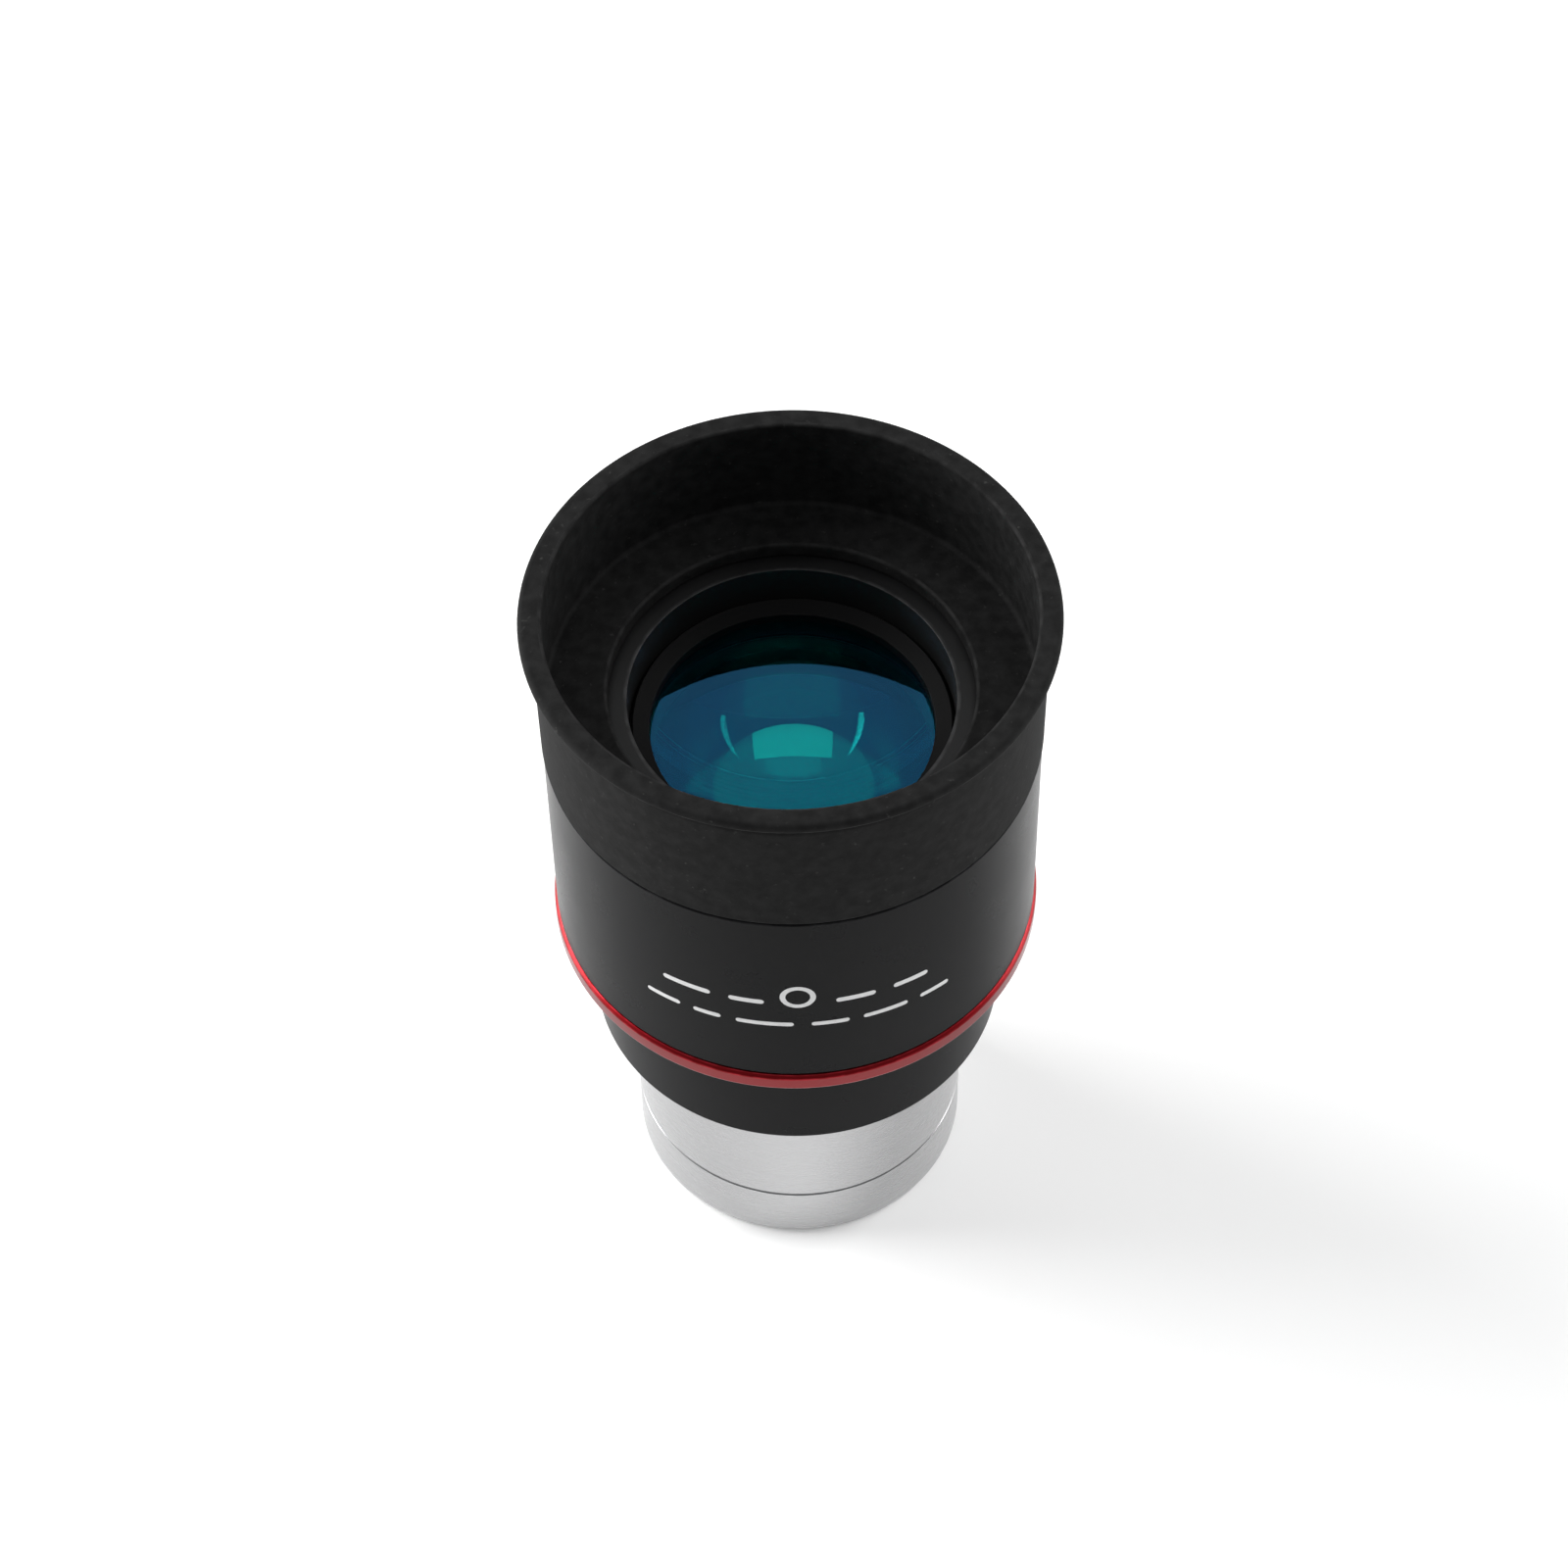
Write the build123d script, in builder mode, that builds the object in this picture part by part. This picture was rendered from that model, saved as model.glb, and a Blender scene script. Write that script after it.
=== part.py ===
from build123d import *
import os
from math import sqrt

# Telescope eyepiece with a 1.25 in barrel: 25 mm focal length, four lenses in two groups.
# Millimetres, +Z towards the eye. The origin is on the optical axis at the open end of the
# barrel, which is the face that the eyepiece stands on.
# Every piece is a turned or moulded ring, so each one is a closed outline revolved about Z.

# ---------- driving dimensions ----------

# barrel that slides into the focuser (1.25 in standard)
barrel_diameter = 31.75
barrel_length = 22.6
barrel_wall = 2.375
barrel_end_width = 0.36
barrel_end_height = 0.7
groove_height = 7.0
groove_width = 0.36
groove_depth = 0.2
filter_thread_wall = 1.925
filter_thread_length = 5.0
filter_relief_depth = 0.35
filter_relief_height = 0.7
shoulder_width = 1.15
shoulder_recess = 0.5
undercut_height = 0.4
undercut_depth = 0.275
thread_length = 4.5

# field stop, held inside the barrel at the focal plane
field_stop_height = 20.46
field_stop_thickness = 1.5
field_stop_lip = 2.45
field_stop_edge = 0.3

# lenses: two cemented doublets, with the flat flint faces outwards
lens_diameter = 28.0
flint_thickness = 1.8
cemented_face_radius = 37.5
inner_face_radius = 24.7
crown_edge_thickness = 1.6
apex_gap = 0.6

# lens cell, and the ring and spacer in it
cell_wall = 2.15
cell_thread_step = 0.55
cell_flange_width = 1.0
cell_flange_thickness = 1.9
cell_shoulder_width = 1.25
cell_shoulder_thickness = 1.5
cell_rim_flat = 0.25
cell_rim_drop = 0.3
cell_gap = 8.91
eye_face_depth = 5.1
eye_ring_height = 0.98
eye_ring_dish = 0.53
eye_ring_chamfer = 0.2
spacer_width = 1.4

# upper housing
housing_wall = 6.1
neck_step = 1.27
neck_height = 3.5
spigot_wall = 1.35
spigot_length = 7.6
housing_edge = 0.3

# red trim ring, and the collar under it
trim_thickness = 2.0
trim_overhang = 0.25
trim_edge = 0.3
collar_wall = 1.6
collar_height = 13.05
collar_edge = 0.3

# rubber eyecup
cup_height = 15.4
cup_skirt_wall = 1.32
cup_floor_thickness = 1.0
cup_floor_rise = 0.55
cup_floor_lip = 0.92
cup_hinge_wall = 0.62
cup_flare = 0.1
cup_groove_depth = 0.3
cup_groove_width = 0.7
cup_flange_flare = 1.05
cup_flange_height = 1.6
cup_rim_width = 2.1
cup_rim_round = 0.5
cup_rim_band = 0.3
cup_inner_round = 0.3

# clearances
thread_clearance = 0.08
recess_clearance = 0.06
lens_clearance = 0.05
seat_clearance = 0.02
cement_gap = 0.03
stop_clearance = 0.05
ring_clearance = 0.2
trim_clearance = 0.1
cup_clearance = 0.05


# ---------- sizes that follow ----------

def sag(face_radius, r):
    """Depth of a spherical face at distance r from the axis."""
    return face_radius - sqrt(face_radius * face_radius - r * r)


# radii, from the lenses outwards
lens_r = lens_diameter / 2
cell_bore_r = lens_r + lens_clearance
cell_thread_r = cell_bore_r + cell_thread_step
cell_r = cell_bore_r + cell_wall
cell_flange_r = cell_r + cell_flange_width
stack_opening_r = lens_r - cell_shoulder_width
eye_ring_r = cell_thread_r - ring_clearance
spacer_inner_r = lens_r - spacer_width
housing_bore_r = cell_r + thread_clearance
housing_recess_r = cell_flange_r + thread_clearance
housing_r = cell_r + housing_wall
neck_r = housing_r - neck_step
spigot_r = housing_bore_r + spigot_wall
trim_bore_r = spigot_r + trim_clearance
trim_r = housing_r + trim_overhang
collar_bore_r = spigot_r + thread_clearance
collar_r = collar_bore_r + collar_wall

barrel_r = barrel_diameter / 2
barrel_bore_r = barrel_r - barrel_wall
barrel_thread_r = barrel_r - shoulder_width
filter_thread_r = barrel_r - filter_thread_wall
filter_relief_r = filter_thread_r + filter_relief_depth
collar_thread_r = barrel_thread_r + thread_clearance
collar_recess_r = barrel_r + recess_clearance

# heights up to the housing, from the barrel's open end
barrel_shoulder = barrel_length + shoulder_recess
barrel_top = barrel_shoulder + thread_length
trim_bottom = barrel_length + collar_height
housing_bottom = trim_bottom + trim_thickness
spigot_bottom = housing_bottom - spigot_length

# heights in the lens stack, from the bottom of its cell
crown_edge_depth = sag(cemented_face_radius, lens_r)
crown_height = crown_edge_depth + crown_edge_thickness + sag(inner_face_radius, lens_r)
cell_bottom = barrel_top + cell_gap
cell_seat = cell_bottom + cell_shoulder_thickness
field_face = cell_seat + seat_clearance
field_cement = field_face + flint_thickness
field_apex = field_cement + crown_height
eye_apex = field_apex + apex_gap
eye_cement = eye_apex + crown_height
eye_face = eye_cement + flint_thickness

# the cell is as long as the lenses need, and the housing as long as the cell needs
cell_top = eye_face + eye_face_depth
housing_top = cell_top - cup_clearance
housing_shoulder = housing_top - neck_height
collar_step = min(spigot_bottom, cell_bottom) - thread_clearance

os.makedirs("parts", exist_ok=True)


# ---------- barrel ----------

# The bore widens at its open end to the core of the filter thread, which a relief groove
# ends. The thread at the top is at its outside diameter. The shoulder below it is undercut
# and seats in a shallow recess in the collar, so the focuser meets only the collar's face.
filter_relief_top = filter_thread_length + filter_relief_height
groove_bottom = groove_height - groove_width / 2
groove_top = groove_height + groove_width / 2
with BuildPart() as barrel:
    with BuildSketch(Plane.XZ):
        with BuildLine():
            Polyline(
                (filter_thread_r, 0),
                (barrel_r - barrel_end_width, 0),
                (barrel_r, barrel_end_height),
                (barrel_r, groove_bottom),
                (barrel_r - groove_depth, groove_height),
                (barrel_r, groove_top),
                (barrel_r, barrel_length - undercut_height),
                (barrel_r - undercut_depth, barrel_length - undercut_height),
                (barrel_r - undercut_depth, barrel_shoulder),
                (barrel_thread_r, barrel_shoulder),
                (barrel_thread_r, barrel_top),
                (barrel_bore_r, barrel_top),
                (barrel_bore_r, filter_relief_top),
                (filter_relief_r, filter_relief_top),
                (filter_relief_r, filter_thread_length),
                (filter_thread_r, filter_thread_length),
                close=True,
            )
        make_face()
    revolve(axis=Axis.Z)
barrel.part.label = "barrel"
export_step(barrel.part, "parts/barrel.step")


# ---------- field stop ----------

# A thin ring with a knife edge towards the eye, which gives the view its sharp border.
field_stop_r = barrel_bore_r - stop_clearance
field_stop_bottom = field_stop_height - field_stop_thickness
with BuildPart() as field_stop:
    with BuildSketch(Plane.XY.offset(field_stop_bottom)):
        Circle(field_stop_r)
        Circle(barrel_bore_r - field_stop_lip, mode=Mode.SUBTRACT)
    extrude(amount=field_stop_thickness)
    lower_edges = field_stop.edges().group_by(Axis.Z)[0].sort_by(SortBy.RADIUS)
    chamfer(lower_edges[0], field_stop_thickness - field_stop_edge)
field_stop.part.label = "field_stop"
export_step(field_stop.part, "parts/field_stop.step")


# ---------- lenses ----------

# Each doublet is a plano-concave flint cemented to a biconvex crown. The two doublets are
# alike and face each other crown to crown, so the field pair is the eye pair turned over.

def flint_profile(flat, side):
    """Outline of a flint from its flat face; side is -1 below the face and +1 above it."""
    cement = flat + side * flint_thickness
    edge = cement + side * crown_edge_depth
    Polyline((0, cement), (0, flat), (lens_r, flat), (lens_r, edge))
    RadiusArc((0, cement), (lens_r, edge), -side * cemented_face_radius)


def crown_profile(cement, side):
    """Outline of a crown from the middle of its cemented face, with its inner face beyond."""
    top = cement + side * cement_gap
    edge = top + side * crown_edge_depth
    inner_edge = edge + side * (crown_edge_thickness - cement_gap)
    apex = cement + side * crown_height
    RadiusArc((0, top), (lens_r, edge), -side * cemented_face_radius)
    Line((lens_r, edge), (lens_r, inner_edge))
    RadiusArc((lens_r, inner_edge), (0, apex), -side * inner_face_radius)
    Line((0, apex), (0, top))


with BuildPart() as eye_flint:
    with BuildSketch(Plane.XZ):
        with BuildLine():
            flint_profile(eye_face, -1)
        make_face()
    revolve(axis=Axis.Z)
eye_flint.part.label = "eye_flint"
export_step(eye_flint.part, "parts/eye_flint.step")

with BuildPart() as eye_crown:
    with BuildSketch(Plane.XZ):
        with BuildLine():
            crown_profile(eye_cement, -1)
        make_face()
    revolve(axis=Axis.Z)
eye_crown.part.label = "eye_crown"
export_step(eye_crown.part, "parts/eye_crown.step")

with BuildPart() as field_crown:
    with BuildSketch(Plane.XZ):
        with BuildLine():
            crown_profile(field_cement, 1)
        make_face()
    revolve(axis=Axis.Z)
field_crown.part.label = "field_crown"
export_step(field_crown.part, "parts/field_crown.step")

with BuildPart() as field_flint:
    with BuildSketch(Plane.XZ):
        with BuildLine():
            flint_profile(field_face, 1)
        make_face()
    revolve(axis=Axis.Z)
field_flint.part.label = "field_flint"
export_step(field_flint.part, "parts/field_flint.step")


# ---------- lens spacer ----------

# The spacer meets each crown's curved face along its own inner edge.
spacer_top = eye_apex + sag(inner_face_radius, spacer_inner_r) - seat_clearance
spacer_bottom = field_apex - sag(inner_face_radius, spacer_inner_r) + seat_clearance
with BuildPart() as lens_spacer:
    with BuildSketch(Plane.XY.offset(spacer_bottom)):
        Circle(lens_r)
        Circle(spacer_inner_r, mode=Mode.SUBTRACT)
    extrude(amount=spacer_top - spacer_bottom)
lens_spacer.part.label = "lens_spacer"
export_step(lens_spacer.part, "parts/lens_spacer.step")


# ---------- lens cell ----------

# A tube with a seat for the field lens at the bottom, a female thread for the retaining
# ring at the top, and a flange that seats in the housing. Its rim shows in the eyecup.
eye_ring_bottom = eye_face + seat_clearance
eye_ring_top = eye_ring_bottom + eye_ring_height
cell_thread_bottom = eye_face - seat_clearance
cell_rim_edge = cell_top - cell_rim_drop
cell_flange_bottom = cell_rim_edge - cell_flange_thickness
with BuildPart() as lens_cell:
    with BuildSketch(Plane.XZ):
        with BuildLine():
            Polyline(
                (stack_opening_r, cell_bottom),
                (cell_r, cell_bottom),
                (cell_r, cell_flange_bottom),
                (cell_flange_r, cell_flange_bottom),
                (cell_flange_r, cell_rim_edge),
                (cell_thread_r + cell_rim_flat, cell_top),
                (cell_thread_r, cell_top),
                (cell_thread_r, cell_thread_bottom),
                (cell_bore_r, cell_thread_bottom),
                (cell_bore_r, cell_seat),
                (stack_opening_r, cell_seat),
                close=True,
            )
        make_face()
    revolve(axis=Axis.Z)
lens_cell.part.label = "lens_cell"
export_step(lens_cell.part, "parts/lens_cell.step")


# ---------- eye lens retaining ring ----------

with BuildPart() as eye_ring:
    with BuildSketch(Plane.XZ):
        with BuildLine():
            Polyline(
                (stack_opening_r, eye_ring_bottom),
                (eye_ring_r, eye_ring_bottom),
                (eye_ring_r, eye_ring_top + eye_ring_dish - eye_ring_chamfer),
                (eye_ring_r - eye_ring_chamfer, eye_ring_top + eye_ring_dish),
                (stack_opening_r, eye_ring_top),
                close=True,
            )
        make_face()
    revolve(axis=Axis.Z)
eye_ring.part.label = "eye_retaining_ring"
export_step(eye_ring.part, "parts/eye_retaining_ring.step")


# ---------- housing ----------

# The upper shell: a neck for the eyecup, the bore and recess that hold the lens cell, and a
# male-threaded spigot that passes through the trim ring into the collar.
with BuildPart() as housing:
    with BuildSketch(Plane.XZ):
        with BuildLine():
            Polyline(
                (housing_bore_r, spigot_bottom),
                (spigot_r, spigot_bottom),
                (spigot_r, housing_bottom),
                (housing_r - housing_edge, housing_bottom),
                (housing_r, housing_bottom + housing_edge),
                (housing_r, housing_shoulder - housing_edge),
                (housing_r - housing_edge, housing_shoulder),
                (neck_r, housing_shoulder),
                (neck_r, housing_top),
                (housing_recess_r, housing_top),
                (housing_recess_r, cell_flange_bottom),
                (housing_bore_r, cell_flange_bottom),
                close=True,
            )
        make_face()
    revolve(axis=Axis.Z)
housing.part.label = "housing"
export_step(housing.part, "parts/housing.step")


# ---------- trim ring ----------

with BuildPart() as trim_ring:
    with BuildSketch(Plane.XY.offset(trim_bottom)):
        Circle(trim_r)
    extrude(amount=trim_thickness)
    chamfer(trim_ring.edges().filter_by(GeomType.CIRCLE), trim_edge)
    with BuildSketch(Plane.XY.offset(trim_bottom)):
        Circle(trim_bore_r)
    extrude(amount=trim_thickness, mode=Mode.SUBTRACT)
trim_ring.part.label = "trim_ring"
export_step(trim_ring.part, "parts/trim_ring.step")


# ---------- collar ----------

# Screws onto the housing's spigot, which clamps the trim ring. A narrower thread at its
# lower end takes the barrel.
with BuildPart() as collar:
    with BuildSketch(Plane.XZ):
        with BuildLine():
            Polyline(
                (collar_recess_r, barrel_length),
                (collar_r - collar_edge, barrel_length),
                (collar_r, barrel_length + collar_edge),
                (collar_r, trim_bottom),
                (collar_bore_r, trim_bottom),
                (collar_bore_r, collar_step),
                (collar_thread_r, collar_step),
                (collar_thread_r, barrel_shoulder),
                (collar_recess_r, barrel_shoulder),
                close=True,
            )
        make_face()
    revolve(axis=Axis.Z)
collar.part.label = "collar"
export_step(collar.part, "parts/collar.step")


# ---------- eyecup ----------

# One rubber moulding: a skirt that grips the housing's neck, a floor that lies on the
# housing round the lens cell, a thin wall that folds, and a thick rolled flange at the eye.
cup_bottom = housing_shoulder
cup_top = cup_bottom + cup_height
cup_bore_r = neck_r + cup_clearance
cup_skirt_r = cup_bore_r + cup_skirt_wall
cup_floor_bottom = housing_top + cup_clearance
cup_floor_edge = cup_floor_bottom + cup_floor_thickness
cup_hole_r = cell_flange_r - cup_floor_lip
cup_shoulder_r = cup_skirt_r + cup_flare
cup_groove_r = cup_shoulder_r - cup_groove_depth
cup_flange_r = cup_shoulder_r + cup_flange_flare
cup_flange_bottom = cup_top - cup_flange_height
cup_groove_bottom = cup_flange_bottom - cup_groove_width
cup_floor_share = (cup_floor_edge - cup_bottom) / (cup_groove_bottom - cup_bottom)
cup_crease_r = cup_skirt_r + cup_flare * cup_floor_share - cup_hinge_wall
with BuildPart() as eyecup:
    with BuildSketch(Plane.XZ):
        with BuildLine():
            Polyline(
                (cup_bore_r, cup_bottom),
                (cup_skirt_r, cup_bottom),
                (cup_shoulder_r, cup_groove_bottom),
                (cup_groove_r, cup_flange_bottom),
                (cup_flange_r, cup_top - cup_rim_round - cup_rim_band),
                (cup_flange_r, cup_top),
                (cup_flange_r - cup_rim_width, cup_top),
                (cup_crease_r, cup_floor_edge),
                (cup_hole_r, cup_floor_edge + cup_floor_rise),
                (cup_hole_r, cup_floor_bottom),
                (cup_bore_r, cup_floor_bottom),
                close=True,
            )
        make_face()
    revolve(axis=Axis.Z)
    top_edges = eyecup.edges().filter_by(GeomType.CIRCLE).group_by(Axis.Z)[-1].sort_by(SortBy.RADIUS)
    fillet(top_edges[-1], cup_rim_round)
    top_edges = eyecup.edges().filter_by(GeomType.CIRCLE).group_by(Axis.Z)[-1].sort_by(SortBy.RADIUS)
    fillet(top_edges[0], cup_inner_round)
eyecup.part.label = "eyecup"
export_step(eyecup.part, "parts/eyecup.step")
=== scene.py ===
from math import copysign, cos, pi, radians, sin, sqrt

import bmesh
import bpy
from mathutils import Matrix, Vector


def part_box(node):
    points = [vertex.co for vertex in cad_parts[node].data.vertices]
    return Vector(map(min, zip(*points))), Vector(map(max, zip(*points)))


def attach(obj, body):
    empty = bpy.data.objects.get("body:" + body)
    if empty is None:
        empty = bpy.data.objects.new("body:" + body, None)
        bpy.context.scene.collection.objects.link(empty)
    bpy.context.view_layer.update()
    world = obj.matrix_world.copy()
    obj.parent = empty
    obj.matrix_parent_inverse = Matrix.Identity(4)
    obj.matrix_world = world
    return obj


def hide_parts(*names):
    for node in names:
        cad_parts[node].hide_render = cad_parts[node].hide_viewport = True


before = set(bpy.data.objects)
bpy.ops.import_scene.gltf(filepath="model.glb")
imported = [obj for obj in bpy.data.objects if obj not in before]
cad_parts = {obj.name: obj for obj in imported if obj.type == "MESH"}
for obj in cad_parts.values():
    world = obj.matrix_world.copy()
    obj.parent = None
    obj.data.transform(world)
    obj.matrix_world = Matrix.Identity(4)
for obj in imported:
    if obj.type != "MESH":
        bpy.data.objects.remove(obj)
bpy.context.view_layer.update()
MM = 0.001

# ---------- studio and camera ----------
# A camera above the eyepiece looks down into the eyecup, over a pale matt table, with a soft
# box at each side, one high behind and one high in front, as in a small product studio.
stand_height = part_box("eyecup")[1].z
camera_distance = 0.3512
camera_elevation = radians(49.99)
look_down = radians(52.44)
look_aside = radians(-0.22)
lean = radians(-1.31)
camera_data = bpy.data.cameras.new("camera")
camera_data.sensor_width = 36.0
camera_data.lens = 93.67
camera_data.clip_start = 0.01
camera_data.clip_end = 20.0
camera = bpy.data.objects.new("camera", camera_data)
bpy.context.scene.collection.objects.link(camera)
forward = Vector((sin(look_aside) * cos(look_down), cos(look_aside) * cos(look_down), -sin(look_down)))
level_right = forward.cross(Vector((0, 0, 1))).normalized()
level_up = level_right.cross(forward)
right = level_right * cos(lean) + level_up * sin(lean)
up = level_up * cos(lean) - level_right * sin(lean)
turn = Matrix((right, up, -forward)).transposed().to_4x4()
away = Vector((0, -cos(camera_elevation), sin(camera_elevation))) * camera_distance
camera.matrix_world = Matrix.Translation(away + Vector((0, 0, stand_height))) @ turn
bpy.context.scene.camera = camera
bpy.context.scene.view_settings.view_transform = "Standard"


def linear(hex_colour):
    """An sRGB hex colour such as "#1a1b1c" as linear red, green, blue and alpha."""
    parts = [int(hex_colour[i:i + 2], 16) / 255 for i in (1, 3, 5)]
    return [p / 12.92 if p <= 0.04045 else ((p + 0.055) / 1.055) ** 2.4 for p in parts] + [1.0]


def scale_for(size):
    """The noise scale that gives a pattern of this size in millimetres."""
    return 1 / (size * MM)


def socket_called(node, name):
    """The input of a node that is in use and has this name or, for a number, stands at this place."""
    if isinstance(name, int):
        return node.inputs[name]
    return next((socket for socket in node.inputs if socket.enabled and socket.name == name), None)


def add_node(material, kind, links=(), **settings):
    """Adds a shader node; settings fill its properties or sockets, links are (socket, source)."""
    node = material.node_tree.nodes.new(kind)
    for name, value in settings.items():
        socket = socket_called(node, name.replace("_", " "))
        if socket:
            socket.default_value = value
        else:
            setattr(node, name, value)
    for name, source in links:
        material.node_tree.links.new(source, socket_called(node, name))
    return node


def new_material(name):
    """An empty node material, and the object coordinates that its patterns follow."""
    material = bpy.data.materials.new(name)
    material.use_nodes = True
    material.node_tree.nodes.clear()
    place = add_node(material, "ShaderNodeTexCoord").outputs["Object"]
    return material, place


def finish_material(material, shader):
    """Gives the material its shader as the surface."""
    add_node(material, "ShaderNodeOutputMaterial", [("Surface", shader.outputs[0])])
    return material


def soft_box(name, place, target, width, height, watts):
    """A rectangular soft light, in metres, that faces its target."""
    light = bpy.data.lights.new(name, "AREA")
    light.shape = "RECTANGLE"
    light.size = width
    light.size_y = height
    light.energy = watts
    lamp = bpy.data.objects.new(name, light)
    bpy.context.scene.collection.objects.link(lamp)
    lamp.location = place
    lamp.rotation_mode = "QUATERNION"
    lamp.rotation_quaternion = (Vector(target) - Vector(place)).to_track_quat("-Z", "Y")


middle = (0, 0, 0.05)
upper_middle = (0, 0, 0.06)
soft_box("soft_box_left", (-0.5, 0.16, 0.27), middle, width=0.4, height=0.45, watts=5.2)
soft_box("soft_box_right", (0.5, 0.16, 0.27), middle, width=0.4, height=0.45, watts=2.8)
soft_box("soft_box_back", (0.0, 0.5, 0.68), upper_middle, width=0.5, height=0.35, watts=0.68)
soft_box("soft_box_front", (0.0, -0.35, 0.8), upper_middle, width=1.1, height=0.6, watts=1.25)

world = bpy.data.worlds.new("studio")
bpy.context.scene.world = world
world.use_nodes = True
surroundings = world.node_tree.nodes["Background"]
surroundings.inputs["Color"].default_value = linear("#f4f6f8")
surroundings.inputs["Strength"].default_value = 0.22

# white acrylic, faintly lit from below: nearly even, with cloudy patches a hand's width across
table_acrylic, place = new_material("backlit_white_acrylic")
cloud = add_node(table_acrylic, "ShaderNodeTexNoise", [("Vector", place)], Scale=scale_for(110), Detail=3.0)
tone = add_node(table_acrylic, "ShaderNodeMix", [("Factor", cloud.outputs[0])], data_type="RGBA",
                A=linear("#f6f6f5"), B=linear("#f9f9f9"))
acrylic = add_node(table_acrylic, "ShaderNodeBsdfPrincipled", [("Base Color", tone.outputs[2])],
                   Roughness=0.9, Emission_Color=linear("#ffffff"), Emission_Strength=0.16)
finish_material(table_acrylic, acrylic)
table_bm = bmesh.new()
bmesh.ops.create_grid(table_bm, x_segments=8, y_segments=8, size=1.5)
table_mesh = bpy.data.meshes.new("table")
table_bm.to_mesh(table_mesh)
table_mesh.materials.append(table_acrylic)
table = bpy.data.objects.new("table", table_mesh)
bpy.context.scene.collection.objects.link(table)

# ---------- barrel ----------
# The bright tube that slides into the focuser: aluminium turned in a lathe and left bright,
# with one fine turned line, a chamfered end, and cut threads inside its mouth and at its top.
def spun(bm, outline, steps=192):
    """Spins a closed outline of (radius, height, rounding), in millimetres, into the mesh."""
    corners = [bm.verts.new((r * MM, 0, z * MM)) for r, z, _ in outline]
    bm.faces.new(corners)
    old = set(bm.verts) - set(corners)
    for size in sorted({rounding for _, _, rounding in outline if rounding}):
        chosen = [corner for corner, (_, _, rounding) in zip(corners, outline) if rounding == size]
        bmesh.ops.bevel(bm, geom=chosen, offset=size * MM, offset_type="OFFSET", segments=4, profile=0.5,
                        affect="VERTICES", material=-1)
    loop = [v for v in bm.verts if v not in old]
    bmesh.ops.delete(bm, geom=[f for f in bm.faces if set(f.verts) <= set(loop)], context="FACES_ONLY")
    edges = [e for e in bm.edges if e.verts[0] in loop and e.verts[1] in loop]
    bmesh.ops.spin(bm, geom=loop + edges, cent=(0, 0, 0), axis=(0, 0, 1), angle=2 * pi, steps=steps,
                   use_merge=True)


thread_pitch = 0.75


def cut_thread(bm, root, crest, bottom, turns, pitch=thread_pitch, steps=72):
    """A closed helical ridge from the root radius to the crest radius, in millimetres."""
    half_root = pitch * 0.44
    half_crest = pitch * 0.08
    section = ((root, bottom - half_root), (crest, bottom - half_crest),
               (crest, bottom + half_crest), (root, bottom + half_root))
    start = bm.faces.new([bm.verts.new((r * MM, 0, z * MM)) for r, z in section])
    bmesh.ops.spin(bm, geom=[start], cent=(0, 0, 0), axis=(0, 0, 1), dvec=(0, 0, pitch * MM / steps),
                   angle=2 * pi * turns, steps=int(steps * turns), use_duplicate=False)


def radius_of(centre):
    """How far a mesh point lies from the axis, in millimetres."""
    return sqrt(centre.x ** 2 + centre.y ** 2) / MM


def make_piece(name, bm, material):
    """Closes a mesh, points its faces outwards, marks its rounded edges for faint wear and a painted edge
    highlight and shades it smooth.
    """
    widest_rounding = 0.13 * MM
    sharpest_smooth = radians(35)
    bmesh.ops.remove_doubles(bm, verts=bm.verts[:], dist=0.0002 * MM)
    bmesh.ops.recalc_face_normals(bm, faces=bm.faces[:])
    # faces on the rounded edges: they get a lighter colour that is part wear and part painted highlight
    wear_and_highlight_mask = bm.faces.layers.float.new("wear_and_highlight_mask")
    for face in bm.faces:
        face.smooth = True
        face[wear_and_highlight_mask] = min(edge.calc_length() for edge in face.edges) < widest_rounding
    for edge in bm.edges:
        edge.smooth = edge.calc_face_angle(0) < sharpest_smooth
    mesh = bpy.data.meshes.new(name)
    bm.to_mesh(mesh)
    bm.free()
    mesh.materials.append(material)
    piece = bpy.data.objects.new(name, mesh)
    bpy.context.scene.collection.objects.link(piece)
    weighted = piece.modifiers.new("even shading", "WEIGHTED_NORMAL")
    weighted.keep_sharp = True
    return piece


def paint_wear_and_highlight(material, place, tone, rough, highlight_and_wear_colour, smoother):
    """Broken patches, 1.5 mm across, of a lighter colour and a smoother finish on the rounded edges: part
    wear, part a painted edge highlight.
    """
    patches = add_node(material, "ShaderNodeTexNoise", [("Vector", place)], Scale=scale_for(1.5), Detail=3.0)
    broken = add_node(material, "ShaderNodeMapRange", [("Value", patches.outputs[0])],
                      From_Min=0.42, From_Max=0.6)
    edge = add_node(material, "ShaderNodeAttribute", attribute_name="wear_and_highlight_mask")
    amount = add_node(material, "ShaderNodeMath", [(0, broken.outputs[0]), (1, edge.outputs["Fac"])],
                      operation="MULTIPLY")
    colour = add_node(material, "ShaderNodeMix", [("Factor", amount.outputs[0]), ("A", tone.outputs[2])],
                      data_type="RGBA", B=linear(highlight_and_wear_colour))
    finish = add_node(material, "ShaderNodeMath", [(0, amount.outputs[0]), (2, rough.outputs[0])],
                      operation="MULTIPLY_ADD")
    finish.inputs[1].default_value = -smoother
    return colour.outputs[2], finish.outputs[0]


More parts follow.
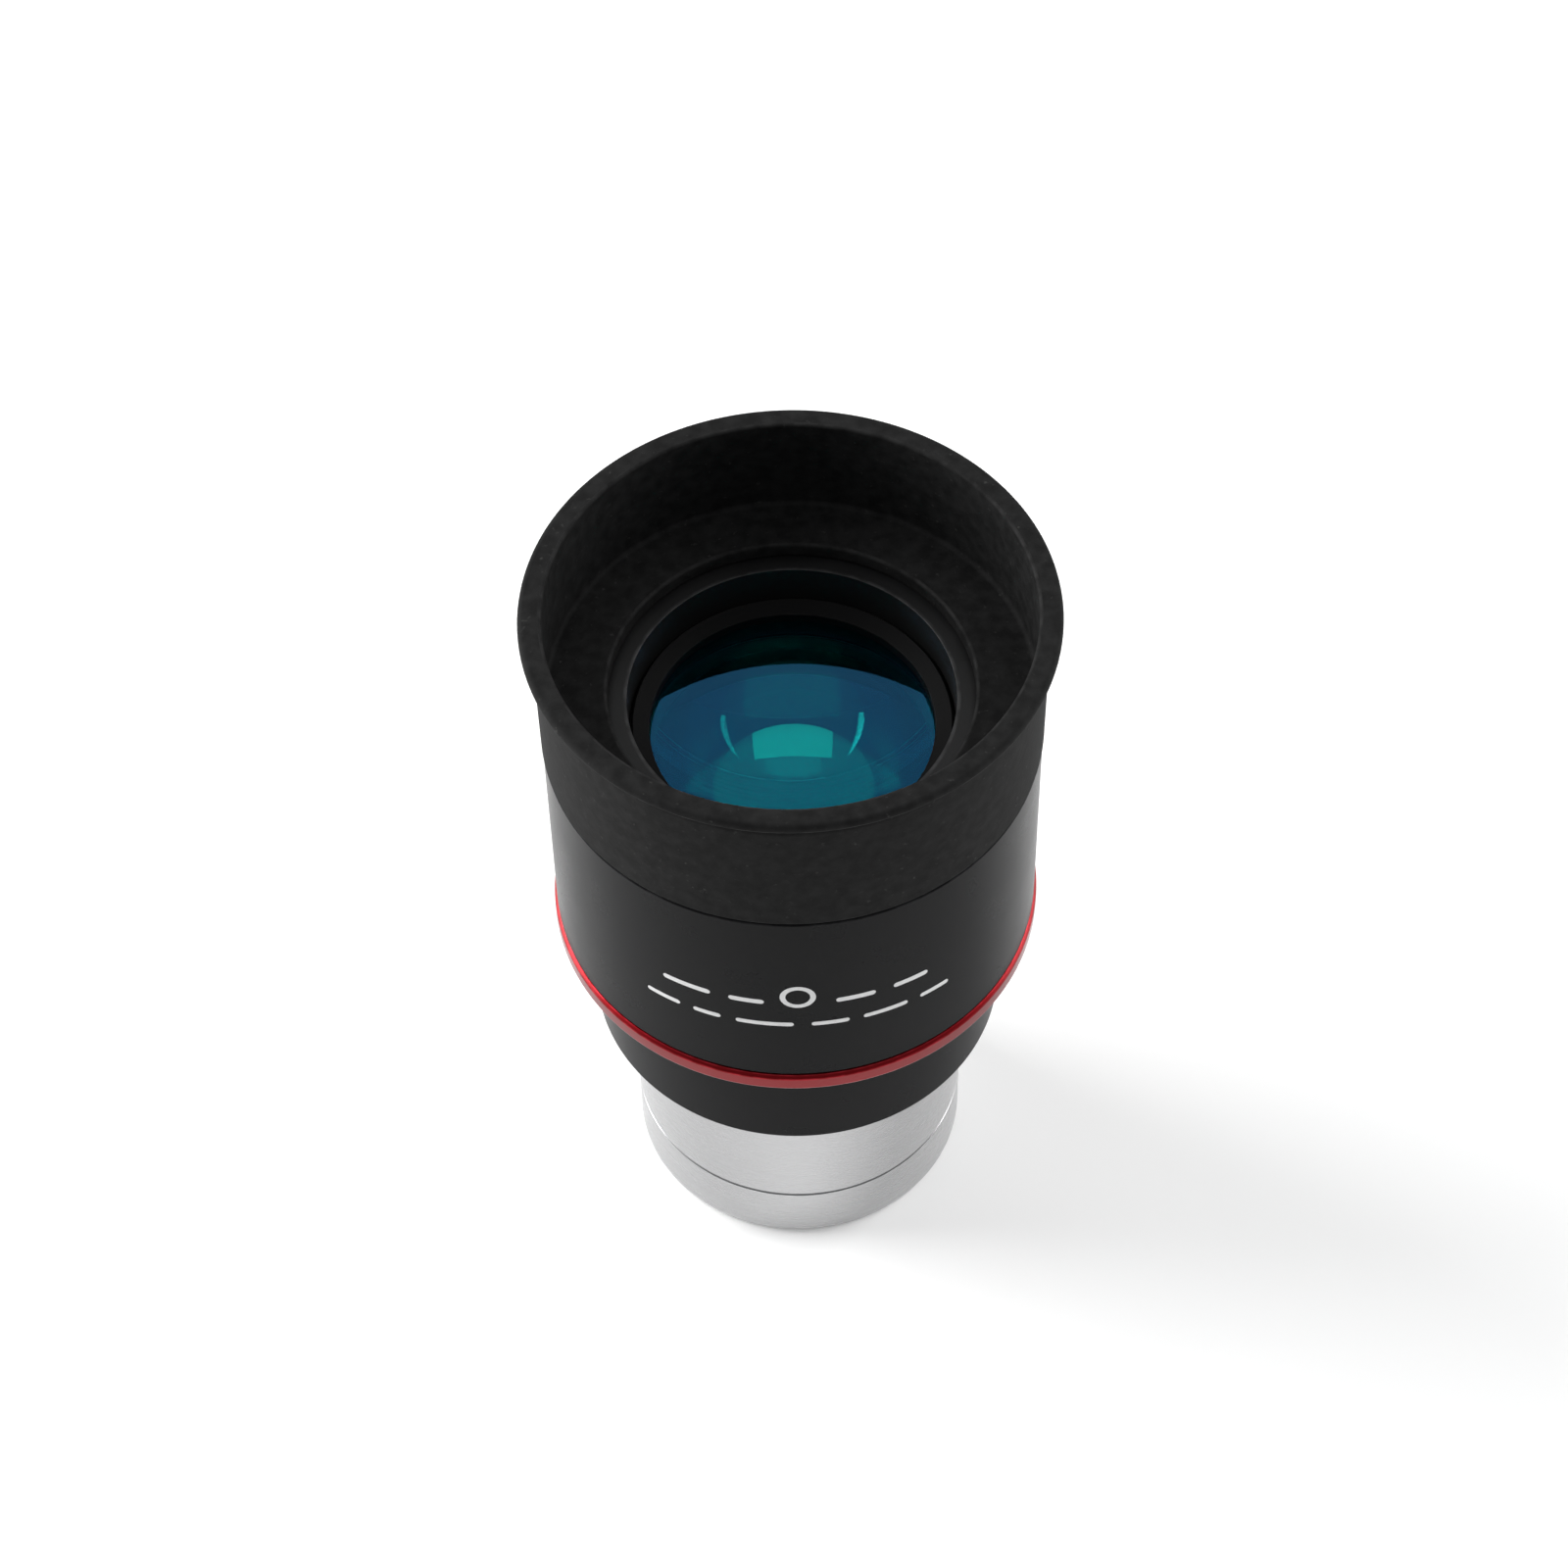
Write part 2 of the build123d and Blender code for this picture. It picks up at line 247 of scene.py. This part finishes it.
# bright turned aluminium: fine rings round the axis that smear each highlight sideways. The tool's
# real feed of about 0.05 mm is drawn as rings 0.11 mm apart, which fade in and out over 17 mm
turned_aluminium, place = new_material("turned_bright_aluminium")
stretch = add_node(turned_aluminium, "ShaderNodeMapping", [("Vector", place)],
                   Scale=(scale_for(17), scale_for(17), scale_for(0.11)))
marks = add_node(turned_aluminium, "ShaderNodeTexNoise", [("Vector", stretch.outputs[0])],
                 Scale=1.0, Detail=3.0)
tone = add_node(turned_aluminium, "ShaderNodeMix", [("Factor", marks.outputs[0])], data_type="RGBA",
                A=linear("#b2b2b3"), B=linear("#bbbbbc"))
rough = add_node(turned_aluminium, "ShaderNodeMapRange", [("Value", marks.outputs[0])],
                 To_Min=0.2, To_Max=0.34)
# the rounded edges get a lighter grey: part burnished wear, part painted highlight
colour, finish = paint_wear_and_highlight(turned_aluminium, place, tone, rough, highlight_and_wear_colour="#d4d4d4", smoother=0.1)
lines = add_node(turned_aluminium, "ShaderNodeBump", [("Height", marks.outputs[0])],
                 Strength=0.3, Distance=0.02 * MM)
metal = add_node(turned_aluminium, "ShaderNodeBsdfPrincipled",
                 [("Base Color", colour), ("Roughness", finish), ("Normal", lines.outputs[0])], Metallic=1.0)
finish_material(turned_aluminium, metal)


def black_anodised(name, dark, light, highlight_and_wear_colour, smoothest, roughest, gloss):
    """Black anodised aluminium: its 0.03 mm etched grain is drawn 0.12 mm wide, its dye clouds over 5 mm,
    and its rounded edges are lighter, part wear and part painted highlight.
    """
    black, place = new_material(name)
    grain = add_node(black, "ShaderNodeTexNoise", [("Vector", place)], Scale=scale_for(0.12), Detail=2.0)
    dye = add_node(black, "ShaderNodeTexNoise", [("Vector", place)], Scale=scale_for(5), Detail=4.0)
    tone = add_node(black, "ShaderNodeMix", [("Factor", dye.outputs[0])], data_type="RGBA",
                    A=linear(dark), B=linear(light))
    rough = add_node(black, "ShaderNodeMapRange", [("Value", dye.outputs[0])],
                     To_Min=smoothest, To_Max=roughest)
    # the rounded edges get a lighter colour: part rubbed wear, part painted edge highlight
    colour, finish = paint_wear_and_highlight(black, place, tone, rough, highlight_and_wear_colour, smoother=0.08)
    pits = add_node(black, "ShaderNodeBump", [("Height", grain.outputs[0])],
                    Strength=0.2, Distance=0.03 * MM)
    metal = add_node(black, "ShaderNodeBsdfPrincipled",
                     [("Base Color", colour), ("Roughness", finish), ("Normal", pits.outputs[0])],
                     Specular_IOR_Level=gloss)
    return finish_material(black, metal)


# matt black anodising on the inner faces: a soft, nearly even black that returns little light
# the lighter edge colour is part wear and part a painted highlight
matt_black = black_anodised("matt_black_anodised_aluminium", dark="#101011", light="#171717",
                            highlight_and_wear_colour="#262627", smoothest=0.42, roughest=0.56, gloss=0.45)

barrel_low, barrel_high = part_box("barrel")
barrel_r = barrel_high.x / MM
barrel_top = barrel_high.z / MM
collar_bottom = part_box("collar")[0].z / MM
bore_r = 13.5
relief_top = 5.7
filter_depth = 5.0
filter_root_r = 14.3
filter_core_r = 13.95
mouth_r = 14.25
line_height = 7.0
line_half = 0.18
line_depth = 0.2
step_r = barrel_r - 0.275
step_top = collar_bottom + 0.5
top_root_r = 14.35
top_crest_r = 14.72
bm = bmesh.new()
spun(bm, [
    (mouth_r, 0.3, 0), (mouth_r + 0.3, 0.0, 0.06), (15.5, 0.0, 0.12), (barrel_r, 0.7, 0.25),
    (barrel_r, line_height - line_half, 0.04), (barrel_r - line_depth, line_height, 0.03),
    (barrel_r, line_height + line_half, 0.04),
    (barrel_r, collar_bottom - 0.4, 0.06), (step_r, collar_bottom - 0.4, 0.04),
    (step_r, step_top, 0.06), (top_root_r, step_top, 0.1),
    (top_root_r, barrel_top - 0.35, 0), (14.0, barrel_top, 0.06), (bore_r, barrel_top, 0.1),
    (bore_r, relief_top, 0.05), (filter_root_r, relief_top, 0.05),
    (filter_root_r, filter_depth, 0), (mouth_r, filter_depth - 0.1, 0),
])
cut_thread(bm, filter_root_r, filter_core_r, bottom=0.75, pitch=0.6, turns=7.0)
cut_thread(bm, filter_root_r, top_crest_r, bottom=collar_bottom + 1.3, turns=3.9)
barrel_tube = make_piece("barrel_tube", bm, turned_aluminium)
barrel_tube.data.materials.append(matt_black)
for face in barrel_tube.data.polygons:
    in_bore = filter_depth + 0.1 < face.center.z / MM < barrel_top - 0.2
    if in_bore and radius_of(face.center) < bore_r + 0.3:
        face.material_index = 1
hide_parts("barrel")
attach(barrel_tube, "barrel")

# ---------- field stop, lens cell, retaining ring and spacer ----------
# The inner metal parts: turned aluminium, anodised a matt black so that they reflect no
# stray light. The cell screws into the housing and the ring clamps the lenses in it.
stop_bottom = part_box("field_stop")[0].z / MM
stop_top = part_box("field_stop")[1].z / MM
stop_r = 11.05
stop_outer_r = 13.45
stop_funnel_r = 12.25
stop_lip = 0.3
bm = bmesh.new()
spun(bm, [
    (stop_r, stop_top - stop_lip, 0.02), (stop_r, stop_top, 0.02), (stop_outer_r, stop_top, 0.1),
    (stop_outer_r, stop_bottom, 0.1), (stop_funnel_r, stop_bottom, 0.03),
])
field_stop_ring = make_piece("field_stop_ring", bm, matt_black)
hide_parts("field_stop")
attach(field_stop_ring, "barrel")

cell_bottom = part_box("lens_cell")[0].z / MM
cell_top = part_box("lens_cell")[1].z / MM
eye_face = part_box("eye_flint")[1].z / MM
ring_seat = eye_face - 0.02
cell_bore_r = 12.75
cell_outer_r = 16.2
lens_bore_r = 14.05
ring_bore_r = 14.6
cell_floor = cell_bottom + 1.5
cell_flange_r = 17.2
cell_flange_bottom = cell_top - 2.2
bm = bmesh.new()
spun(bm, [
    (cell_bore_r, cell_bottom, 0.05), (cell_outer_r, cell_bottom, 0.3),
    (cell_outer_r, cell_flange_bottom, 0), (cell_flange_r, cell_flange_bottom, 0.1),
    (cell_flange_r, cell_top - 0.3, 0.08),
    (ring_bore_r + 0.25, cell_top, 0.08), (ring_bore_r, cell_top, 0.05), (ring_bore_r, ring_seat, 0),
    (lens_bore_r, ring_seat, 0.05), (lens_bore_r, cell_floor, 0), (cell_bore_r, cell_floor, 0.05),
])
cell_tube = make_piece("lens_cell_tube", bm, matt_black)
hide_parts("lens_cell")
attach(cell_tube, "housing")

# the clamping ring is the blackest part, so that it sends no light back past the eye lens
# the lighter edge colour is part wear and part a painted highlight
deep_black = black_anodised("deep_black_anodised_aluminium", dark="#060606", light="#0a0a0b",
                            highlight_and_wear_colour="#151515", smoothest=0.5, roughest=0.62, gloss=0.12)
ring_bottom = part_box("eye_retaining_ring")[0].z / MM
ring_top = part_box("eye_retaining_ring")[1].z / MM
ring_outer_r = 14.4
bm = bmesh.new()
spun(bm, [
    (cell_bore_r, ring_bottom, 0.03), (ring_outer_r, ring_bottom, 0.1), (ring_outer_r, ring_top - 0.2, 0.03),
    (ring_outer_r - 0.2, ring_top, 0.03), (cell_bore_r, ring_top - 0.53, 0.08),
])
retaining_ring = make_piece("retaining_ring", bm, deep_black)
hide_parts("eye_retaining_ring")
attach(retaining_ring, "housing")

spacer_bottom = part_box("lens_spacer")[0].z / MM
spacer_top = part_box("lens_spacer")[1].z / MM
spacer_r = 12.6
spacer_outer_r = 14.0
bm = bmesh.new()
spun(bm, [
    (spacer_r, spacer_bottom, 0.03), (spacer_outer_r, spacer_bottom, 0.1),
    (spacer_outer_r, spacer_top, 0.1), (spacer_r, spacer_top, 0.03),
])
spacer_ring = make_piece("lens_spacer_ring", bm, matt_black)
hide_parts("lens_spacer")
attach(spacer_ring, "optics")

# ---------- lenses ----------
# Two cemented pairs of optical glass, polished, with many-layer coatings that send back
# blue from the flat outer faces and green from the inner ones. Their edges are ground and inked.
def coated_glass(name, reflection, strength):
    """Polished glass, faintly hazed over 14 mm, whose coating sends back one colour at a given strength."""
    glass, place = new_material(name)
    film = add_node(glass, "ShaderNodeTexNoise", [("Vector", place)], Scale=scale_for(14), Detail=2.0)
    rough = add_node(glass, "ShaderNodeMapRange", [("Value", film.outputs[0])], To_Min=0.0, To_Max=0.004)
    shader = add_node(glass, "ShaderNodeBsdfPrincipled", [("Roughness", rough.outputs[0])], IOR=1.62,
                      Transmission_Weight=1.0, Base_Color=linear("#00e0e8"),
                      Specular_IOR_Level=strength, Specular_Tint=linear(reflection))
    return finish_material(glass, shader)


# optical glass with many-layer coatings: deep blue from the flat faces, blue-green inside
outer_coating = coated_glass("glass_with_blue_coating", reflection="#00aeff", strength=1.0)
inner_coating = coated_glass("glass_with_green_coating", reflection="#00fff0", strength=0.06)

# black ink on the ground edge: dull and quite dark, over frosted glass with a 0.25 mm grain, as
# coarse as it needs to show, where the real grinding grit is about 0.03 mm
edge_ink, place = new_material("black_edge_ink")
ground = add_node(edge_ink, "ShaderNodeTexNoise", [("Vector", place)], Scale=scale_for(0.25))
tone = add_node(edge_ink, "ShaderNodeMix", [("Factor", ground.outputs[0])], data_type="RGBA",
                A=linear("#070707"), B=linear("#0d0d0d"))
rough = add_node(edge_ink, "ShaderNodeMapRange", [("Value", ground.outputs[0])], To_Min=0.8, To_Max=0.95)
pits = add_node(edge_ink, "ShaderNodeBump", [("Height", ground.outputs[0])],
                Strength=0.4, Distance=0.05 * MM)
ink = add_node(edge_ink, "ShaderNodeBsdfPrincipled", [
    ("Base Color", tone.outputs[2]), ("Roughness", rough.outputs[0]), ("Normal", pits.outputs[0])])
finish_material(edge_ink, ink)

# the cement line: clear, but its two glasses differ, so it sends back a faint green, a little
# unevenly over 11 mm. The cement film's underside is plain and clear
cement_line, place = new_material("cement_between_glasses")
haze = add_node(cement_line, "ShaderNodeTexNoise", [("Vector", place)], Scale=scale_for(11), Detail=2.0)
part = add_node(cement_line, "ShaderNodeMapRange", [("Value", haze.outputs[0])], To_Min=0.16, To_Max=0.2)
clear = add_node(cement_line, "ShaderNodeBsdfTransparent")
glint = add_node(cement_line, "ShaderNodeBsdfAnisotropic", Roughness=0.02, Color=linear("#00ffe0"))
cement = add_node(cement_line, "ShaderNodeMixShader",
                  [("Fac", part.outputs[0]), (1, clear.outputs[0]), (2, glint.outputs[0])])
finish_material(cement_line, cement)
clear_cement = new_material("clear_cement")[0]
finish_material(clear_cement, add_node(clear_cement, "ShaderNodeBsdfTransparent"))

lens_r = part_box("eye_flint")[1].x / MM
lens_chamfer = 0.2
dome_radius = 24.7
cement_radius = 37.5
cement_depth = 1.8
cement_thick = 0.03


def drop(radius, r):
    """How far a dome of this radius has fallen at r from its top, all in millimetres."""
    return radius - sqrt(radius ** 2 - r ** 2)


def spun_open(bm, profile, steps):
    """Spins a profile of (radius, height), in millimetres, that starts and ends on the axis."""
    points = [bm.verts.new((r * MM, 0, z * MM)) for r, z in profile]
    edges = [bm.edges.new(pair) for pair in zip(points, points[1:])]
    bmesh.ops.spin(bm, geom=points + edges, cent=(0, 0, 0), axis=(0, 0, 1), angle=2 * pi, steps=steps,
                   use_merge=True)


def doublet(name, flat, apex, nodes):
    """A cemented pair as one closed glass body, from its flat face to its domed face's apex."""
    side = 1 if flat > apex else -1
    flat_rings = 12
    dome_rings = 84
    profile = [(lens_r * k / flat_rings, flat) for k in range(flat_rings)]
    profile += [(lens_r - lens_chamfer, flat), (lens_r, flat - side * lens_chamfer)]
    for k in range(dome_rings + 1):
        r = lens_r * (1 - k / dome_rings)
        profile.append((r, apex + side * drop(dome_radius, r)))
    bm = bmesh.new()
    spun_open(bm, profile, steps=224)
    glass = make_piece(name, bm, outer_coating)
    glass.modifiers.clear()
    glass.data.materials.append(inner_coating)
    glass.data.materials.append(edge_ink)
    for face in glass.data.polygons:
        if radius_of(face.center) > lens_r - lens_chamfer + 0.01:
            face.material_index = 2
        elif abs(face.center.z / MM - flat) > 0.05:
            face.material_index = 1
    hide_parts(*nodes)
    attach(glass, "optics")


def cement_film(name, flat):
    """The cement under the eye lens's flat face, as a thin closed film that follows a dome."""
    rings = 48
    film_r = lens_r - 0.1
    radii = [film_r * k / rings for k in range(rings + 1)]
    upper = [(r, flat - cement_depth - drop(cement_radius, r)) for r in radii]
    lower = [(r, z - cement_thick) for r, z in reversed(upper)]
    bm = bmesh.new()
    spun_open(bm, upper + lower, steps=192)
    film = make_piece(name, bm, cement_line)
    film.modifiers.clear()
    film.data.materials.append(clear_cement)
    for face in film.data.polygons:
        if face.normal.z < 0.1:
            face.material_index = 1
    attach(film, "optics")


eye_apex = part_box("eye_crown")[0].z / MM
field_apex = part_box("field_crown")[1].z / MM
field_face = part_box("field_flint")[0].z / MM
doublet("eye_doublet", eye_face, eye_apex, ("eye_flint", "eye_crown"))
cement_film("eye_doublet_cement", eye_face)
doublet("field_doublet", field_face, field_apex, ("field_flint", "field_crown"))

# ---------- housing and collar ----------
# The upper shell and the narrower section below it: aluminium, turned, bead blasted fine and
# anodised black, so they have a soft satin sheen. Threads join them through the red ring.

# satin black anodising: nearly even and dark, with soft, broad highlights and little shine
# the lighter edge colour is part wear and part a painted highlight
satin_black = black_anodised("satin_black_anodised_aluminium", dark="#0f0f10", light="#151516",
                             highlight_and_wear_colour="#222223", smoothest=0.24, roughest=0.33, gloss=0.05)

housing_low, housing_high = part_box("housing")
housing_r = housing_high.x / MM
spigot_bottom = housing_low.z / MM
housing_top = housing_high.z / MM
housing_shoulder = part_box("eyecup")[0].z / MM
trim_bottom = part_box("trim_ring")[0].z / MM
housing_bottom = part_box("trim_ring")[1].z / MM
housing_bore_r = 16.28
spigot_r = 17.63
flange_seat_r = 17.28
neck_r = 21.03
chamfer = 0.3
bm = bmesh.new()
spun(bm, [
    (housing_bore_r, spigot_bottom, 0.1), (spigot_r, spigot_bottom, 0.25), (spigot_r, housing_bottom, 0.1),
    (housing_r - chamfer, housing_bottom, 0.06), (housing_r, housing_bottom + chamfer, 0.1),
    (housing_r, housing_shoulder - chamfer, 0.1), (housing_r - chamfer, housing_shoulder, 0.06),
    (neck_r, housing_shoulder, 0.05), (neck_r, housing_top, 0.3), (flange_seat_r, housing_top, 0.15),
    (flange_seat_r, cell_flange_bottom, 0), (housing_bore_r, cell_flange_bottom, 0.05),
])
housing_shell = make_piece("housing_shell", bm, satin_black)
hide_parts("housing")
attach(housing_shell, "housing")

collar_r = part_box("collar")[1].x / MM
collar_mouth_r = barrel_r + 0.06
collar_ledge = collar_bottom + 0.5
collar_thread_r = 15.15
collar_core_r = 14.81
spigot_seat_r = spigot_r + 0.08
spigot_seat = spigot_bottom - 0.08
bm = bmesh.new()
spun(bm, [
    (collar_mouth_r, collar_bottom, 0.08), (collar_r - chamfer, collar_bottom, 0.08),
    (collar_r, collar_bottom + chamfer, 0.12), (collar_r, trim_bottom, 0.1),
    (spigot_seat_r, trim_bottom, 0.05), (spigot_seat_r, spigot_seat, 0.1),
    (collar_thread_r, spigot_seat, 0.15), (collar_thread_r, collar_ledge, 0),
    (collar_mouth_r, collar_ledge, 0),
])
cut_thread(bm, collar_thread_r + 0.05, collar_core_r, bottom=collar_bottom + 1.0, turns=7.5)
collar_shell = make_piece("collar_shell", bm, satin_black)
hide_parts("collar")
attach(collar_shell, "housing")

# ---------- marking ----------
# The pale marking on the housing's front: plain dashes and a plain ring, engraved by laser
# through the anodising down to bare aluminium. They stand for the maker's lettering.
def dash(bm, across, height, long, tall):
    """A flat round-ended dash, in millimetres, placed across from the middle of the housing's front."""
    ends = bmesh.ops.create_circle(bm, cap_ends=True, segments=22, radius=tall / 2)["verts"]
    for vert in ends:
        vert.co.x += across + copysign((long - tall) / 2, vert.co.x)
        vert.co.y += height


# bare aluminium left by the laser: pale, dull and finely pitted. Its spots of about 0.05 mm are
# drawn 0.2 mm across, so that they show
laser_mark, place = new_material("laser_engraved_aluminium")
burn = add_node(laser_mark, "ShaderNodeTexNoise", [("Vector", place)], Scale=scale_for(0.2), Detail=2.0)
tone = add_node(laser_mark, "ShaderNodeMix", [("Factor", burn.outputs[0])], data_type="RGBA",
                A=linear("#d8d8d8"), B=linear("#ebebeb"))
rough = add_node(laser_mark, "ShaderNodeMapRange", [("Value", burn.outputs[0])], To_Min=0.55, To_Max=0.8)
pits = add_node(laser_mark, "ShaderNodeBump", [("Height", burn.outputs[0])],
                Strength=0.3, Distance=0.02 * MM)
metal = add_node(laser_mark, "ShaderNodeBsdfPrincipled", [
    ("Base Color", tone.outputs[2]), ("Roughness", rough.outputs[0]), ("Normal", pits.outputs[0])],
                 Metallic=0.3)
finish_material(laser_mark, metal)

upper_row = 49.2
upper_tall = 0.62
lower_row = 45.9
lower_tall = 0.55
ring_height = 50.1
ring_radii = (1.6, 1.1)
mark_proud = 0.015
mark_thick = 0.035
marking_reach = 15
bm = bmesh.new()
for across, long in ((-10.2, 4.6), (-4.6, 3.2), (5.2, 3.6), (10.4, 3.4)):
    dash(bm, across, upper_row, long, upper_tall)
for across, long in ((-12.6, 3.4), (-8.3, 2.6), (-3.0, 5.2), (2.9, 3.4), (8.0, 4.2), (12.9, 3.0)):
    dash(bm, across, lower_row, long, lower_tall)
ring_verts = []
for r in ring_radii:
    ring_verts += bmesh.ops.create_circle(bm, segments=48, radius=r)["verts"]
bmesh.ops.bridge_loops(bm, edges=list({edge for vert in ring_verts for edge in vert.link_edges}))
bmesh.ops.translate(bm, verts=ring_verts, vec=(0, ring_height, 0))

# the flat marks are cut every half millimetre, so that they bend round the housing
for k in range(-2 * marking_reach, 2 * marking_reach + 1):
    everything = bm.verts[:] + bm.edges[:] + bm.faces[:]
    bmesh.ops.bisect_plane(bm, geom=everything, plane_co=(k / 2, 0, 0), plane_no=(1, 0, 0))
mark_r = (housing_r + mark_proud) * MM
for vert in bm.verts:
    angle = vert.co.x / housing_r
    vert.co = (mark_r * sin(angle), -mark_r * cos(angle), vert.co.y * MM)
for face in bm.faces:
    face.normal_update()
    centre = face.calc_center_median()
    if face.normal.x * centre.x + face.normal.y * centre.y < 0:
        face.normal_flip()
bmesh.ops.solidify(bm, geom=bm.faces[:], thickness=mark_thick * MM)
marking = make_piece("housing_marking", bm, laser_mark)
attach(marking, "housing")

# ---------- trim ring ----------
# A thin aluminium ring, fine turned and anodised red, clamped between the housing and the
# collar, where it shows as one bright line.

# red anodising: deep and glossy, with faint turned rings of 0.17 mm, drawn coarser than the real
# 0.05 mm, under a clear seal that whitens where it is seen at a glancing angle
red_anodised, place = new_material("red_anodised_aluminium")
stretch = add_node(red_anodised, "ShaderNodeMapping", [("Vector", place)],
                   Scale=(scale_for(25), scale_for(25), scale_for(0.17)))
marks = add_node(red_anodised, "ShaderNodeTexNoise", [("Vector", stretch.outputs[0])],
                 Scale=1.0, Detail=2.0)
tone = add_node(red_anodised, "ShaderNodeMix", [("Factor", marks.outputs[0])], data_type="RGBA",
                A=linear("#760a11"), B=linear("#860e17"))
rough = add_node(red_anodised, "ShaderNodeMapRange", [("Value", marks.outputs[0])],
                 To_Min=0.36, To_Max=0.48)
# the rounded edges and chamfers get a lighter red: part rubbed wear, part painted highlight
colour, finish = paint_wear_and_highlight(red_anodised, place, tone, rough, highlight_and_wear_colour="#9a1c26", smoother=0.06)
lines = add_node(red_anodised, "ShaderNodeBump", [("Height", marks.outputs[0])],
                 Strength=0.2, Distance=0.02 * MM)
metal = add_node(red_anodised, "ShaderNodeBsdfPrincipled",
                 [("Base Color", colour), ("Roughness", finish), ("Normal", lines.outputs[0])],
                 Metallic=1.0, Coat_Weight=1.0, Coat_Roughness=0.25, Coat_IOR=1.18)
finish_material(red_anodised, metal)

trim_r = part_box("trim_ring")[1].x / MM
trim_bore_r = 17.73
bm = bmesh.new()
spun(bm, [
    (trim_bore_r, trim_bottom, 0.1), (trim_r - chamfer, trim_bottom, 0.08),
    (trim_r, trim_bottom + chamfer, 0.12), (trim_r, housing_bottom - chamfer, 0.12),
    (trim_r - chamfer, housing_bottom, 0.08), (trim_bore_r, housing_bottom, 0.1),
])
red_ring = make_piece("red_ring", bm, red_anodised)
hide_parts("trim_ring")
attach(red_ring, "housing")

# ---------- eyecup ----------
# One soft moulding of black rubber, stretched over the housing's neck. Its wall is thin so
# that it folds down, and its rim is thick. The surface is matt, dusty and slightly grained.

# moulded rubber: dull, dark grey rather than black, with dust in blotches of 1.25 mm and specks of
# lint 0.5 mm across, both drawn about twice their real size. Its edges are rubbed a little smoother,
# and the lighter grey there is part wear and part painted highlight
moulded_rubber, place = new_material("matt_moulded_rubber")
dust = add_node(moulded_rubber, "ShaderNodeTexNoise", [("Vector", place)], Scale=scale_for(1.25), Detail=8.0)
speck = add_node(moulded_rubber, "ShaderNodeTexNoise", [("Vector", place)],
                 Scale=scale_for(0.53), Detail=3.0)
few = add_node(moulded_rubber, "ShaderNodeMapRange", [("Value", speck.outputs[0])],
               From_Min=0.66, From_Max=0.8)
patch = add_node(moulded_rubber, "ShaderNodeMapRange", [("Value", dust.outputs[0])],
                 From_Min=0.35, From_Max=0.68)
tone = add_node(moulded_rubber, "ShaderNodeMix", [("Factor", patch.outputs[0])], data_type="RGBA",
                A=linear("#161616"), B=linear("#232323"))
lint = add_node(moulded_rubber, "ShaderNodeMix", [("Factor", few.outputs[0]), ("A", tone.outputs[2])],
                data_type="RGBA", B=linear("#383837"))
rough = add_node(moulded_rubber, "ShaderNodeMapRange", [("Value", dust.outputs[0])],
                 To_Min=0.72, To_Max=0.92)
# the rounded edges get a lighter grey: part rubbed wear, part painted highlight
colour, finish = paint_wear_and_highlight(moulded_rubber, place, lint, rough, highlight_and_wear_colour="#262626", smoother=0.1)
skin = add_node(moulded_rubber, "ShaderNodeBump", [("Height", speck.outputs[0])],
                Strength=0.35, Distance=0.06 * MM)
rubber = add_node(moulded_rubber, "ShaderNodeBsdfPrincipled",
                  [("Base Color", colour), ("Roughness", finish), ("Normal", skin.outputs[0])],
                  Specular_IOR_Level=0.12)
finish_material(moulded_rubber, rubber)

cup_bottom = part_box("eyecup")[0].z / MM
cup_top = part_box("eyecup")[1].z / MM
neck_clear_r = neck_r + 0.05
skirt_r = 22.4
skirt_top_r = 22.5
groove_r = 22.2
flange_r = 23.54
rim_r = 21.45
crease_r = 21.8
hole_r = 16.28
floor_bottom = housing_top + 0.05
bm = bmesh.new()
spun(bm, [
    (neck_clear_r, cup_bottom, 0.15), (skirt_r, cup_bottom, 0.25), (skirt_top_r, cup_top - 2.3, 0.3),
    (groove_r, cup_top - 1.6, 0.2), (flange_r, cup_top - 0.8, 0.15), (flange_r, cup_top, 0.5),
    (rim_r, cup_top, 0.3), (crease_r, floor_bottom + 1.0, 0.5), (hole_r, floor_bottom + 1.55, 0.3),
    (hole_r, floor_bottom, 0.15), (neck_clear_r, floor_bottom, 0.3),
], steps=256)
rubber_cup = make_piece("rubber_eyecup", bm, moulded_rubber)
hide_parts("eyecup")
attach(rubber_cup, "eyecup")
